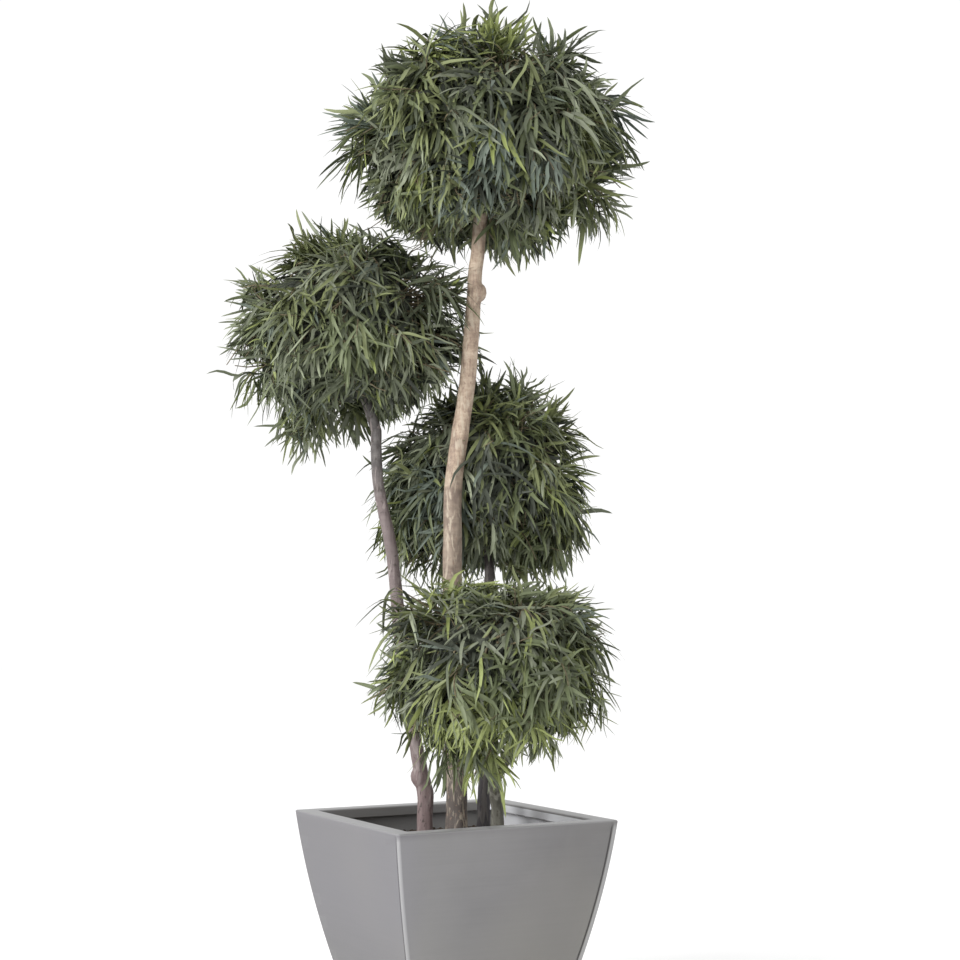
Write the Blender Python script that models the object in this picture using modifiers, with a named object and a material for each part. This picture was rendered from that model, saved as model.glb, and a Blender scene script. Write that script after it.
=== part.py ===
"""Ball topiary in a square planter: four heads of long narrow leaves on four stems.

Metres, +Z up. The origin is the centre of the planter's flat underside. The planter's
sides lie along X and Y. Every limb stands on the soil and ends, cut level, where it
enters its head. A head's own short stem starts just above that cut.
"""

import math
from random import Random

import bmesh
import bpy
from mathutils import Matrix, Vector

# Clearance between neighbouring solids
GAP = 0.0003

# Points this close are one, where a curve's caps meet its sides
WELD = 0.000001

# Planter: square at the rim, its walls bowing in to a smaller square base
POT_HEIGHT = 0.500
POT_SIDE = 0.600
POT_BASE_SIDE = 0.375
POT_LEAN_AT_RIM = 0.12
POT_WALL = 0.014
RIM_WIDTH = 0.047
RIM_DEPTH = 0.024
CORNER_ROUND = 0.004
WALL_STEPS = 7
SOIL_DEPTH = 0.070
SOIL_TOP = POT_HEIGHT - SOIL_DEPTH

# Limbs: route upwards from the soil, the place of the level cut at the tip, radii at both
# ends, how much the foot flares, and knots given by height, bearing in degrees, stand-out
# and half length. The tip's height follows from the head that the limb carries
LIMB_SIDES_RESOLUTION = 2
LIMB_STEP = 0.085
UPRIGHT_END = 0.009
FLARE_HEIGHT = 0.030
TAPER_POWER = 1.7
LIMBS = {
    "trunk": {
        "head": "top_head",
        "route": [
            (0.009, -0.005, SOIL_TOP + GAP),
            (0.010, -0.005, 0.560),
            (0.000, 0.000, 0.850),
            (-0.001, 0.000, 1.200),
            (0.003, -0.002, 1.350),
            (0.033, -0.018, 1.600),
            (0.050, -0.028, 1.880),
        ],
        "tip": (0.056, -0.031),
        "foot_radius": 0.0265,
        "tip_radius": 0.0178,
        "flare": 0.0080,
        "knots": [(1.835, -29, 0.016, 0.030)],
    },
    "left_stem": {
        "head": "left_head",
        "route": [
            (-0.047, 0.060, SOIL_TOP + GAP),
            (-0.048, 0.061, 0.550),
            (-0.063, 0.069, 0.650),
            (-0.086, 0.082, 0.780),
            (-0.122, 0.102, 1.155),
            (-0.151, 0.118, 1.320),
            (-0.158, 0.122, 1.420),
        ],
        "tip": (-0.158, 0.122),
        "foot_radius": 0.0180,
        "tip_radius": 0.0134,
        "flare": 0.0040,
        "knots": [(0.548, 20, 0.005, 0.040), (0.590, 151, 0.014, 0.028)],
    },
    "back_stem": {
        "head": "middle_head",
        "route": [
            (0.130, 0.076, SOIL_TOP + GAP),
            (0.134, 0.074, 0.600),
            (0.144, 0.080, 0.880),
            (0.162, 0.101, 1.080),
        ],
        "tip": (0.166, 0.105),
        "foot_radius": 0.0165,
        "tip_radius": 0.0135,
        "flare": 0.0035,
        "knots": [],
    },
    "front_stem": {
        "head": "low_head",
        "route": [
            (0.108, -0.037, SOIL_TOP + GAP),
            (0.108, -0.037, 0.515),
            (0.088, -0.060, 0.580),
            (0.084, -0.108, 0.630),
            (0.086, -0.148, 0.657),
        ],
        "tip": (0.087, -0.160),
        "foot_radius": 0.0170,
        "tip_radius": 0.0140,
        "flare": 0.0040,
        "knots": [],
    },
}

# Heads: outline of the leaf tips, measured from its widest level. boxiness 2 is an
# ellipsoid, and more has fuller shoulders. A shoot is a twig that hangs or stands out past
# the outline: bearing and rise in degrees from the centre, and its reach as a share
CORE_SHARE = 0.80
CORE_UNEVEN = 0.04
CORE_CLEARANCE = 0.020
STEM_SHOWN = 0.015
HEADS = {
    "top_head": {
        "centre": (0.074, -0.041, 2.197),
        "spread": 0.404,
        "up": 0.371,
        "down": 0.292,
        "boxiness": 2.2,
        "sprays": 165,
        "shoots": [(-31, -16, 1.08), (115, 12, 1.05)],
        "seed": 11,
    },
    "left_head": {
        "centre": (-0.221, 0.180, 1.723),
        "spread": 0.313,
        "up": 0.313,
        "down": 0.288,
        "boxiness": 2.6,
        "sprays": 128,
        "shoots": [(160, -25, 1.08), (170, -62, 1.12), (-20, -5, 1.06)],
        "seed": 23,
    },
    "middle_head": {
        "centre": (0.176, 0.131, 1.355),
        "spread": 0.300,
        "up": 0.288,
        "down": 0.284,
        "boxiness": 2.3,
        "sprays": 114,
        "shoots": [(-20, 74, 1.12), (-35, -22, 1.10), (151, -36, 1.17), (140, -58, 1.12)],
        "seed": 37,
    },
    "low_head": {
        "centre": (-0.005, -0.226, 0.872),
        "spread": 0.303,
        "up": 0.240,
        "down": 0.218,
        "boxiness": 2.7,
        "sprays": 114,
        "shoots": [(151, -72, 1.38), (182, -79, 1.32), (158, -56, 1.26), (205, -66, 1.30)],
        "seed": 41,
    },
}

# Leaves and twigs: the leaves are fewer and larger than life. Every few sprays one is a
# twig with leaves round its tip, and the others are single leaves rooted in the core
LEAF_LONGEST = 0.155
LEAF_SHORTEST = 0.075
LEAF_TRIM = 0.005
LEAF_WIDTH = 0.036
LEAF_THICKNESS = 0.0045
LEAF_WIDEST = 0.42
LEAF_BOW = 0.10
LEAF_SUNK = 0.003
LEAF_SPACING = 0.009
LEAF_ROOT_SHARE = 0.74
LEAVES_PER_TWIG = 4
TWIG_EVERY = 7
TWIG_ROOT_RADIUS = 0.0070
TWIG_TIP_RADIUS = 0.0045
TWIG_ROOT_SHARE = 0.54
TWIG_TIP_SHARES = (0.84, 0.90)
TIP_SHARES = (0.95, 1.03)
SPRAY_WANDER = 0.08

# Lean of a leaf outwards, sideways and down, and how its place is tried
LEAF_OUTWARD = 0.60
LEAF_SPREAD = 0.62
LEAF_DROOP = 0.62
LEAF_TRIES = 6
TRY_SPIN = 0.4
LEAF_CHECKS = (0.2, 0.4, 0.6, 0.8, 1.0)

# Clearances, in metres or, for the core and the other heads, in shares of a head's reach
CLEAR_OF_LIMB = 0.011
CLEAR_OF_LEAF = 0.016
CLEAR_OF_POT = 0.012
CLEAR_OF_CORE = 0.03
CLEAR_OF_HEAD = 0.05


def clear_scene():
    for old in list(bpy.data.objects):
        bpy.data.objects.remove(old)


def new_collection(name):
    made = bpy.data.collections.new(name)
    bpy.context.scene.collection.children.link(made)
    return made


def make_material(name, colour, roughness, metallic=0.0):
    material = bpy.data.materials.new(name)
    material.use_nodes = True
    shader = material.node_tree.nodes["Principled BSDF"]
    shader.inputs["Base Color"].default_value = (*colour, 1.0)
    shader.inputs["Roughness"].default_value = roughness
    shader.inputs["Metallic"].default_value = metallic
    material.diffuse_color = (*colour, 1.0)
    return material


def add_object(name, data, collection, material=None):
    made = bpy.data.objects.new(name, data)
    collection.objects.link(made)
    if material:
        data.materials.clear()
        data.materials.append(material)
    return made


def mesh_of(shape):
    """A mesh made from a bmesh, which is freed."""
    mesh = bpy.data.meshes.new("shape")
    shape.to_mesh(mesh)
    shape.free()
    return mesh


def evaluated_mesh(obj):
    graph = bpy.context.evaluated_depsgraph_get()
    return bpy.data.meshes.new_from_object(obj.evaluated_get(graph))


# Planter and soil


def half_side(height, inset=0.0):
    """Half the planter's outer width at a height, less an inset."""
    depth = POT_HEIGHT - height
    lost = (POT_SIDE - POT_BASE_SIDE) / 2
    bow = lost - POT_LEAN_AT_RIM * POT_HEIGHT
    return POT_SIDE / 2 - POT_LEAN_AT_RIM * depth - bow * (depth / POT_HEIGHT) ** 2 - inset


def wall_points(top, bottom, inset):
    """Half side and height at even steps down a wall."""
    heights = [top + (bottom - top) * i / WALL_STEPS for i in range(WALL_STEPS + 1)]
    return [(half_side(height, inset), height) for height in heights]


def square_form(name, outline, collection, material):
    """A square form: the outline of half side and height is swept round four corners."""
    mesh = bpy.data.meshes.new(name)
    corner = math.sqrt(2)
    points = [(half * corner, 0, height) for half, height in outline]
    mesh.from_pydata(points, [(i, i + 1) for i in range(len(points) - 1)], [])
    made = add_object(name, mesh, collection, material)
    made.rotation_euler.z = math.radians(45)
    screw = made.modifiers.new("Four sides", "SCREW")
    screw.steps = 4
    screw.render_steps = 4
    screw.use_merge_vertices = True
    screw.merge_threshold = 0.0001
    screw.use_smooth_shade = False
    bevel = made.modifiers.new("Rounded corners", "BEVEL")
    bevel.width = CORNER_ROUND
    bevel.segments = 2
    bevel.limit_method = "ANGLE"
    bevel.angle_limit = math.radians(50)
    return made


def make_planter(collection, material):
    inner_rim = POT_SIDE / 2 - RIM_WIDTH
    under_rim = POT_HEIGHT - RIM_DEPTH
    outline = [(0, POT_WALL)]
    outline += reversed(wall_points(under_rim, POT_WALL, POT_WALL))
    outline += [(inner_rim, under_rim), (inner_rim, POT_HEIGHT)]
    outline += wall_points(POT_HEIGHT, 0, 0)
    outline += [(0, 0)]
    square_form("planter", outline, collection, material)


def make_soil(collection, material):
    inset = POT_WALL + GAP
    floor = POT_WALL + GAP
    outline = [(0, SOIL_TOP)] + wall_points(SOIL_TOP, floor, inset) + [(0, floor)]
    square_form("soil", outline, collection, material)


# Limbs


def smooth_route(points):
    """Evenly spaced points on a smooth curve through the route, upright at both ends."""
    points = [Vector(point) for point in points]
    route = []
    for i in range(len(points) - 1):
        start, end = points[i], points[i + 1]
        span = (end - start).length
        leave = (end - points[i - 1]) / 2 if i > 0 else Vector((0, 0, span))
        arrive = (points[i + 2] - start) / 2 if i + 2 < len(points) else Vector((0, 0, span))
        leave = leave.normalized() * span
        arrive = arrive.normalized() * span
        steps = max(2, round(span / LIMB_STEP))
        for k in range(steps):
            t = k / steps
            route.append(
                start * (2 * t**3 - 3 * t**2 + 1)
                + leave * (t**3 - 2 * t**2 + t)
                + end * (3 * t**2 - 2 * t**3)
                + arrive * (t**3 - t**2)
            )
    route.append(points[-1])
    # A short upright stretch at each end keeps both cuts level
    rise = Vector((0, 0, UPRIGHT_END))
    return [route[0], route[0] + rise] + route[1:-1] + [route[-1] - rise, route[-1]]


def tip_of(limb):
    """Centre of the cut at a limb's tip, just below the core of its head."""
    head = HEADS[limb["head"]]
    x, y, z = head["centre"]
    power = head["boxiness"]
    level = math.hypot(limb["tip"][0] - x, limb["tip"][1] - y) / head["spread"]
    core = CORE_SHARE + CORE_UNEVEN
    drop = (core**power - level**power) ** (1 / power) * head["down"]
    return Vector((*limb["tip"], z - drop - STEM_SHOWN))


def limb_route(limb):
    return smooth_route(limb["route"] + [tip_of(limb)])


def limb_radius(limb, point):
    """Radius of a limb at a point on its route: taper, and flare towards the foot."""
    foot, tip = SOIL_TOP, tip_of(limb).z
    share = max(0, min(1, (point.z - foot) / (tip - foot)))
    taper = limb["tip_radius"] + (limb["foot_radius"] - limb["tip_radius"]) * (
        1 - share**TAPER_POWER
    )
    return taper + limb["flare"] * math.exp(-(point.z - foot) / FLARE_HEIGHT)


def tube(name, points, radii, collection):
    curve = bpy.data.curves.new(name, "CURVE")
    curve.dimensions = "3D"
    curve.bevel_depth = 1.0
    curve.bevel_resolution = LIMB_SIDES_RESOLUTION
    curve.use_fill_caps = True
    spline = curve.splines.new("POLY")
    spline.points.add(len(points) - 1)
    for node, point, radius in zip(spline.points, points, radii):
        node.co = (*point, 1)
        node.radius = radius
    return add_object(name, curve, collection)


def as_mesh(curve, collection):
    """The same object as a closed mesh, its end caps welded on."""
    shape = bmesh.new()
    shape.from_mesh(evaluated_mesh(curve))
    bmesh.ops.remove_doubles(shape, verts=shape.verts, dist=WELD)
    name, place = curve.name, curve.matrix_world.copy()
    bpy.data.objects.remove(curve)
    made = add_object(name, mesh_of(shape), collection)
    made.matrix_world = place
    return made


def add_knot(limb, route, height, bearing, stand_out, half_length, collection):
    """A swelling that stands out of a limb towards a bearing."""
    on_limb = min(route, key=lambda point: abs(point.z - height))
    radius = limb_radius(limb, on_limb)
    centre = Vector((on_limb.x, on_limb.y, height)) + bearing_direction(bearing, 0) * stand_out
    scale = Matrix.Diagonal((radius, radius, half_length, 1))
    shape = bmesh.new()
    bmesh.ops.create_uvsphere(
        shape, u_segments=8, v_segments=6, radius=1, matrix=Matrix.Translation(centre) @ scale
    )
    add_object("knot", mesh_of(shape), collection)


def make_limb(name, limb, collection, helpers, material):
    route = limb_route(limb)
    radii = [limb_radius(limb, point) for point in route]
    body = as_mesh(tube(name + " body", route, radii, helpers), helpers)
    knots = new_collection(name + " knots")
    for knot in limb["knots"]:
        add_knot(limb, route, *knot, knots)
    mesh = joined(body, knots)
    mesh.shade_smooth()
    mesh.set_sharp_from_angle(angle=math.radians(50))
    add_object(name, mesh, collection, material)


# Heads


class Head:
    """One head of leaves. It keeps to its own space, clear of limbs, planter and other heads."""

    def __init__(self, name, routes, pieces):
        self.name = name
        self.size = HEADS[name]
        self.centre = Vector(self.size["centre"])
        self.limb = next(limb for limb in LIMBS.values() if limb["head"] == name)
        self.routes = routes
        self.pieces = pieces
        self.rng = Random(self.size["seed"])
        self.grown = []
        self.leaf_count = 0

    def share(self, point):
        return outline_share(self.size, point)

    def at(self, direction, share):
        """The point in a direction from the centre, at a share of the head's reach."""
        return self.centre + direction * share / self.share(self.centre + direction)

    def is_free(self, points, reach):
        """Whether points keep to the head's space, clear of limbs, planter and soil."""
        return all(self.is_point_free(point, reach) for point in points)

    def is_point_free(self, point, reach):
        own = self.share(point)
        if own > TIP_SHARES[1] * reach:
            return False
        for other, size in HEADS.items():
            if other != self.name and outline_share(size, point) < own + CLEAR_OF_HEAD:
                return False
        if point.z < SOIL_TOP + CLEAR_OF_POT:
            return False
        inner_rim = POT_SIDE / 2 - RIM_WIDTH - CLEAR_OF_POT
        if point.z < POT_HEIGHT + CLEAR_OF_POT and max(abs(point.x), abs(point.y)) > inner_rim:
            return False
        for name, route in self.routes.items():
            beside = point.z < route[-1].z + LEAF_WIDTH
            if beside and limb_distance(point, route, LIMBS[name]) < CLEAR_OF_LIMB:
                return False
        return True

    def crosses(self, line):
        """Whether a line of points comes too near a twig or leaf that has already grown."""
        for start, end in self.grown:
            if (line[0] - start).length > 2 * LEAF_LONGEST:
                continue
            for point in line:
                if (point - nearest_on(point, start, end)).length < CLEAR_OF_LEAF:
                    return True
        return False

    def leaf_direction(self, outward, spin):
        """A leaf leans out, to one side, and down where the head is steep."""
        sideways = Matrix.Rotation(spin, 3, outward) @ outward.orthogonal().normalized()
        down = Vector((0, 0, -1)) + outward * outward.z
        return (
            outward * LEAF_OUTWARD
            + sideways * LEAF_SPREAD * self.rng.uniform(0.6, 1.1)
            + down * LEAF_DROOP * self.rng.uniform(0.6, 1.2)
        ).normalized()

    def fitting_length(self, root, along, share):
        """The longest leaf that ends within a share of the head's reach, or none."""
        length = LEAF_LONGEST
        while length >= LEAF_SHORTEST:
            if self.share(root + along * length) <= share:
                return length
            length -= LEAF_TRIM
        return None

    def grow_leaf(self, foot, outward, spin, reach):
        """Grows a leaf, unless every try would touch something or leave the head."""
        for _ in range(LEAF_TRIES):
            along = self.leaf_direction(outward, spin)
            spin += TRY_SPIN
            root = foot - along * LEAF_SUNK
            length = self.fitting_length(root, along, self.rng.uniform(*TIP_SHARES) * reach)
            if length is None:
                continue
            line = [root + along * length * share for share in LEAF_CHECKS]
            if min(self.share(point) for point in line[1:]) < CORE_SHARE + CLEAR_OF_CORE:
                continue
            side = outward.cross(along).normalized() * LEAF_WIDTH / 2
            samples = line + [line[1] + side, line[1] - side]
            if self.is_free(samples, reach) and not self.crosses(line):
                add_leaf(root, along, outward, length, self.pieces)
                self.leaf_count += 1
                return line[0], line[-1]
        return None

    def grow_on_core(self, direction):
        """One leaf that stands straight out of the core."""
        foot = self.at(direction, LEAF_ROOT_SHARE)
        leaf = self.grow_leaf(foot, direction, self.rng.uniform(0, 2 * math.pi), 1)
        if leaf:
            self.grown.append(leaf)

    def grow_twig(self, direction, reach=1):
        """One twig with leaves round its tip."""
        root = self.at(direction, TWIG_ROOT_SHARE)
        tip = self.at(direction, self.rng.uniform(*TWIG_TIP_SHARES) * reach)
        line = [root.lerp(tip, share) for share in (0.5, 0.75, 1)]
        if not self.is_free(line, reach) or self.crosses(line[2:]):
            return
        outward = (tip - root).normalized()
        turn = self.rng.uniform(0, 2 * math.pi)
        leaves = []
        for i in range(LEAVES_PER_TWIG):
            foot = tip - outward * (LEAF_SPACING / 2 + LEAF_SPACING * i)
            spin = turn + i * 2 * math.pi / LEAVES_PER_TWIG
            leaves.append(self.grow_leaf(foot, outward, spin, reach))
        leaves = [leaf for leaf in leaves if leaf]
        if leaves:
            add_twig(root, tip, self.pieces)
            self.grown += [(root, tip)] + leaves

    def grow_all(self):
        for bearing, rise, reach in self.size["shoots"]:
            self.grow_twig(bearing_direction(bearing, rise), reach)
        for i, direction in enumerate(spiral_directions(self.size["sprays"])):
            wander = [self.rng.uniform(-SPRAY_WANDER, SPRAY_WANDER) for _ in range(3)]
            direction = (direction + Vector(wander)).normalized()
            if i % TWIG_EVERY == 0:
                self.grow_twig(direction)
            else:
                self.grow_on_core(direction)

    def flat_sides(self):
        """Where a limb passes by, the core is cut flat: direction and distance of each cut."""
        cuts = []
        for name, route in self.routes.items():
            if route[-1].z < self.centre.z:
                continue
            passing = min(
                (nearest_on(self.centre, start, end) for start, end in zip(route, route[1:])),
                key=lambda point: (point - self.centre).length,
            )
            away = passing - self.centre
            limit = away.length - limb_radius(LIMBS[name], passing) - CORE_CLEARANCE
            cuts.append((away.normalized(), limit))
        return cuts

    def core(self, collection):
        """The dense inside of a clipped head, a little uneven."""
        shape = bmesh.new()
        bmesh.ops.create_icosphere(shape, subdivisions=2, radius=1)
        cuts = self.flat_sides()
        for vertex in shape.verts:
            share = CORE_SHARE + CORE_UNEVEN * self.rng.uniform(-1, 1)
            point = self.at(vertex.co.normalized(), share)
            for away, limit in cuts:
                point -= away * max(0, (point - self.centre).dot(away) - limit)
            vertex.co = point
        return add_object("core", mesh_of(shape), collection)

    def stem(self, collection):
        """The short stem from the limb's cut up into the core."""
        cut = tip_of(self.limb) + Vector((0, 0, GAP))
        route = smooth_route([cut, cut + Vector((0, 0, 3 * STEM_SHOWN)), self.centre])
        radii = [self.limb["tip_radius"]] * len(route)
        return as_mesh(tube("stem", route, radii, collection), collection)


def outline_share(size, point):
    """How far out a point lies in a head: 0 at its centre, 1 on its outline."""
    offset = point - Vector(size["centre"])
    power = size["boxiness"]
    level = math.hypot(offset.x, offset.y) / size["spread"]
    rise = abs(offset.z) / (size["up"] if offset.z > 0 else size["down"])
    return (level**power + rise**power) ** (1 / power)


def nearest_on(point, start, end):
    """The point of a straight stretch that is nearest to a point."""
    along = end - start
    share = max(0, min(1, (point - start).dot(along) / along.length_squared))
    return start + along * share


def limb_distance(point, route, limb):
    """Distance from a point to the surface of a limb."""
    nearest = math.inf
    for start, end in zip(route, route[1:]):
        on_limb = nearest_on(point, start, end)
        nearest = min(nearest, (point - on_limb).length - limb_radius(limb, on_limb))
    return nearest


def spiral_directions(count):
    """Directions spread evenly over a sphere."""
    turn = math.pi * (3 - math.sqrt(5))
    for i in range(count):
        rise = 1 - (2 * i + 1) / count
        level = math.sqrt(1 - rise * rise)
        yield Vector((math.cos(turn * i) * level, math.sin(turn * i) * level, rise))


def bearing_direction(bearing, rise):
    """The direction of a bearing and a rise in degrees."""
    bearing, rise = math.radians(bearing), math.radians(rise)
    level = math.cos(rise)
    return Vector((math.cos(bearing) * level, math.sin(bearing) * level, math.sin(rise)))


def add_leaf(root, along, outward, length, collection):
    """A bowed lens of eight faces that faces outward, from its root along a direction."""
    shape = bmesh.new()
    bmesh.ops.create_uvsphere(shape, u_segments=4, v_segments=2, radius=1)
    for vertex in shape.verts:
        if abs(vertex.co.z) < 0.5:
            vertex.co.z = 2 * LEAF_WIDEST - 1
            vertex.co.x *= LEAF_WIDTH / 2
            vertex.co.y = vertex.co.y * LEAF_THICKNESS / 2 + LEAF_BOW * length
        vertex.co.z = (vertex.co.z + 1) / 2 * length
    side = outward.cross(along).normalized()
    back = along.cross(side).normalized()
    facing = Matrix((side, back, along)).transposed().to_4x4()
    bmesh.ops.transform(shape, matrix=Matrix.Translation(root) @ facing, verts=shape.verts)
    add_object("leaf", mesh_of(shape), collection)


def add_twig(root, tip, collection):
    """A three-sided tapering twig."""
    along = tip - root
    turn = along.to_track_quat("Z", "Y").to_matrix().to_4x4()
    shape = bmesh.new()
    bmesh.ops.create_cone(
        shape,
        cap_ends=True,
        segments=3,
        radius1=TWIG_ROOT_RADIUS,
        radius2=TWIG_TIP_RADIUS,
        depth=along.length,
        matrix=Matrix.Translation((root + tip) / 2) @ turn,
    )
    add_object("twig", mesh_of(shape), collection)


def joined(base, pieces, solver="EXACT"):
    """One mesh of the base and every object of a collection, which is emptied."""
    union = base.modifiers.new("Join", "BOOLEAN")
    union.operation = "UNION"
    union.operand_type = "COLLECTION"
    union.collection = pieces
    union.solver = solver
    mesh = evaluated_mesh(base)
    for piece in list(pieces.objects):
        bpy.data.objects.remove(piece)
    bpy.data.objects.remove(base)
    bpy.data.collections.remove(pieces)
    return mesh


def shell_of(start, left):
    """The vertices joined to a start by edges. They are taken out of left."""
    shell, edge = {start}, [start]
    left.discard(start)
    while edge:
        for link in edge.pop().link_edges:
            for vertex in link.verts:
                if vertex in left:
                    left.discard(vertex)
                    shell.add(vertex)
                    edge.append(vertex)
    return shell


def keep_outer_body(mesh):
    """Drops loose scraps and fills sealed hollows: only the largest shell stays."""
    shape = bmesh.new()
    shape.from_mesh(mesh)
    bmesh.ops.triangulate(shape, faces=shape.faces)
    left = set(shape.verts)
    shells = []
    for vertex in shape.verts:
        if vertex in left:
            shells.append(shell_of(vertex, left))
    keep = max(shells, key=len)
    dropped = [vertex for vertex in shape.verts if vertex not in keep]
    bmesh.ops.delete(shape, geom=dropped, context="VERTS")
    shape.to_mesh(mesh)
    shape.free()


def make_head(name, routes, collection, helpers, material):
    head = Head(name, routes, new_collection(name + " pieces"))
    core = head.core(helpers)
    head.stem(head.pieces)
    head.grow_all()
    mesh = joined(core, head.pieces, "MANIFOLD")
    keep_outer_body(mesh)
    add_object(name, mesh, collection, material)
    print(name, head.leaf_count, "leaves", len(mesh.polygons), "triangles")


def main():
    clear_scene()
    topiary = new_collection("Ball topiary")
    helpers = new_collection("Helpers")
    zinc = make_material("Brushed zinc", (0.30, 0.30, 0.31), 0.42, 0.7)
    earth = make_material("Potting soil", (0.035, 0.026, 0.020), 0.95)
    tan_bark = make_material("Tan bark", (0.42, 0.30, 0.21), 0.75)
    grey_bark = make_material("Grey bark", (0.20, 0.17, 0.16), 0.80)
    foliage = make_material("Foliage", (0.09, 0.14, 0.06), 0.60)
    make_planter(topiary, zinc)
    make_soil(topiary, earth)
    for name, limb in LIMBS.items():
        bark = tan_bark if name == "trunk" else grey_bark
        make_limb(name, limb, topiary, helpers, bark)
    routes = {name: limb_route(limb) for name, limb in LIMBS.items()}
    for name in HEADS:
        make_head(name, routes, topiary, helpers, foliage)
    bpy.data.collections.remove(helpers)


main()
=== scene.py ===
import math

import bmesh
import bpy
import numpy as np
from mathutils import Matrix, Vector


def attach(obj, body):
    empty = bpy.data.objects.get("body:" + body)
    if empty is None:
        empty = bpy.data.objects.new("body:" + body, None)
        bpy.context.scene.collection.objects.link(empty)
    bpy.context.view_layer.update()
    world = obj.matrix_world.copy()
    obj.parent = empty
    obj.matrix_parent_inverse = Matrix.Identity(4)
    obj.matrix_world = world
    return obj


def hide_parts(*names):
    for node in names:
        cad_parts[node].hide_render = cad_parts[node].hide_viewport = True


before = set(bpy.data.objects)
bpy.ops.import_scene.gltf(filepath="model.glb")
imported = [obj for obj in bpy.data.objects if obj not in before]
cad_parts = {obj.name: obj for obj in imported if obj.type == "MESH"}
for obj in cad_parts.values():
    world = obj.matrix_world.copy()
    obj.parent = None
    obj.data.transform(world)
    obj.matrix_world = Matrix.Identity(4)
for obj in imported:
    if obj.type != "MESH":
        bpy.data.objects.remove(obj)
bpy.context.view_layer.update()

# Sizes of the solids, written again here: planter, limbs and heads
# knots: height, bearing, swell and half length of each
planterSize = {
    "height": 0.500,
    "side": 0.600,
    "baseSide": 0.375,
    "leanAtRim": 0.12,
    "wall": 0.014,
    "rimWidth": 0.047,
    "rimDepth": 0.024,
    "soilTop": 0.430,
}
soilTop = planterSize["soilTop"]

limbs = {
    "trunk": {
        "head": "top_head",
        "route": [
            (0.009, -0.005, soilTop), (0.010, -0.005, 0.560), (0.000, 0.000, 0.850),
            (-0.001, 0.000, 1.200), (0.003, -0.002, 1.350), (0.033, -0.018, 1.600),
            (0.050, -0.028, 1.880),
        ],
        "tip": (0.056, -0.031),
        "footRadius": 0.0265,
        "tipRadius": 0.0178,
        "flare": 0.0080,
        "knots": [(1.825, -29, 0.0070, 0.0145)],
    },
    "left_stem": {
        "head": "left_head",
        "route": [
            (-0.047, 0.060, soilTop), (-0.048, 0.061, 0.550), (-0.063, 0.069, 0.650),
            (-0.086, 0.082, 0.780), (-0.122, 0.102, 1.155), (-0.151, 0.118, 1.320),
            (-0.158, 0.122, 1.420),
        ],
        "tip": (-0.158, 0.122),
        "footRadius": 0.0180,
        "tipRadius": 0.0134,
        "flare": 0.0040,
        "knots": [(0.548, 20, 0.003, 0.040), (0.592, 151, 0.0054, 0.015)],
    },
    "back_stem": {
        "head": "middle_head",
        "route": [
            (0.130, 0.076, soilTop), (0.134, 0.074, 0.600), (0.144, 0.080, 0.880),
            (0.162, 0.101, 1.080),
        ],
        "tip": (0.166, 0.105),
        "footRadius": 0.0165,
        "tipRadius": 0.0135,
        "flare": 0.0035,
        "knots": [],
    },
    "front_stem": {
        "head": "low_head",
        "route": [
            (0.108, -0.037, soilTop), (0.108, -0.037, 0.515), (0.088, -0.060, 0.580),
            (0.084, -0.108, 0.630), (0.086, -0.148, 0.657),
        ],
        "tip": (0.087, -0.160),
        "footRadius": 0.0170,
        "tipRadius": 0.0140,
        "flare": 0.0040,
        "knots": [],
    },
}

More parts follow.
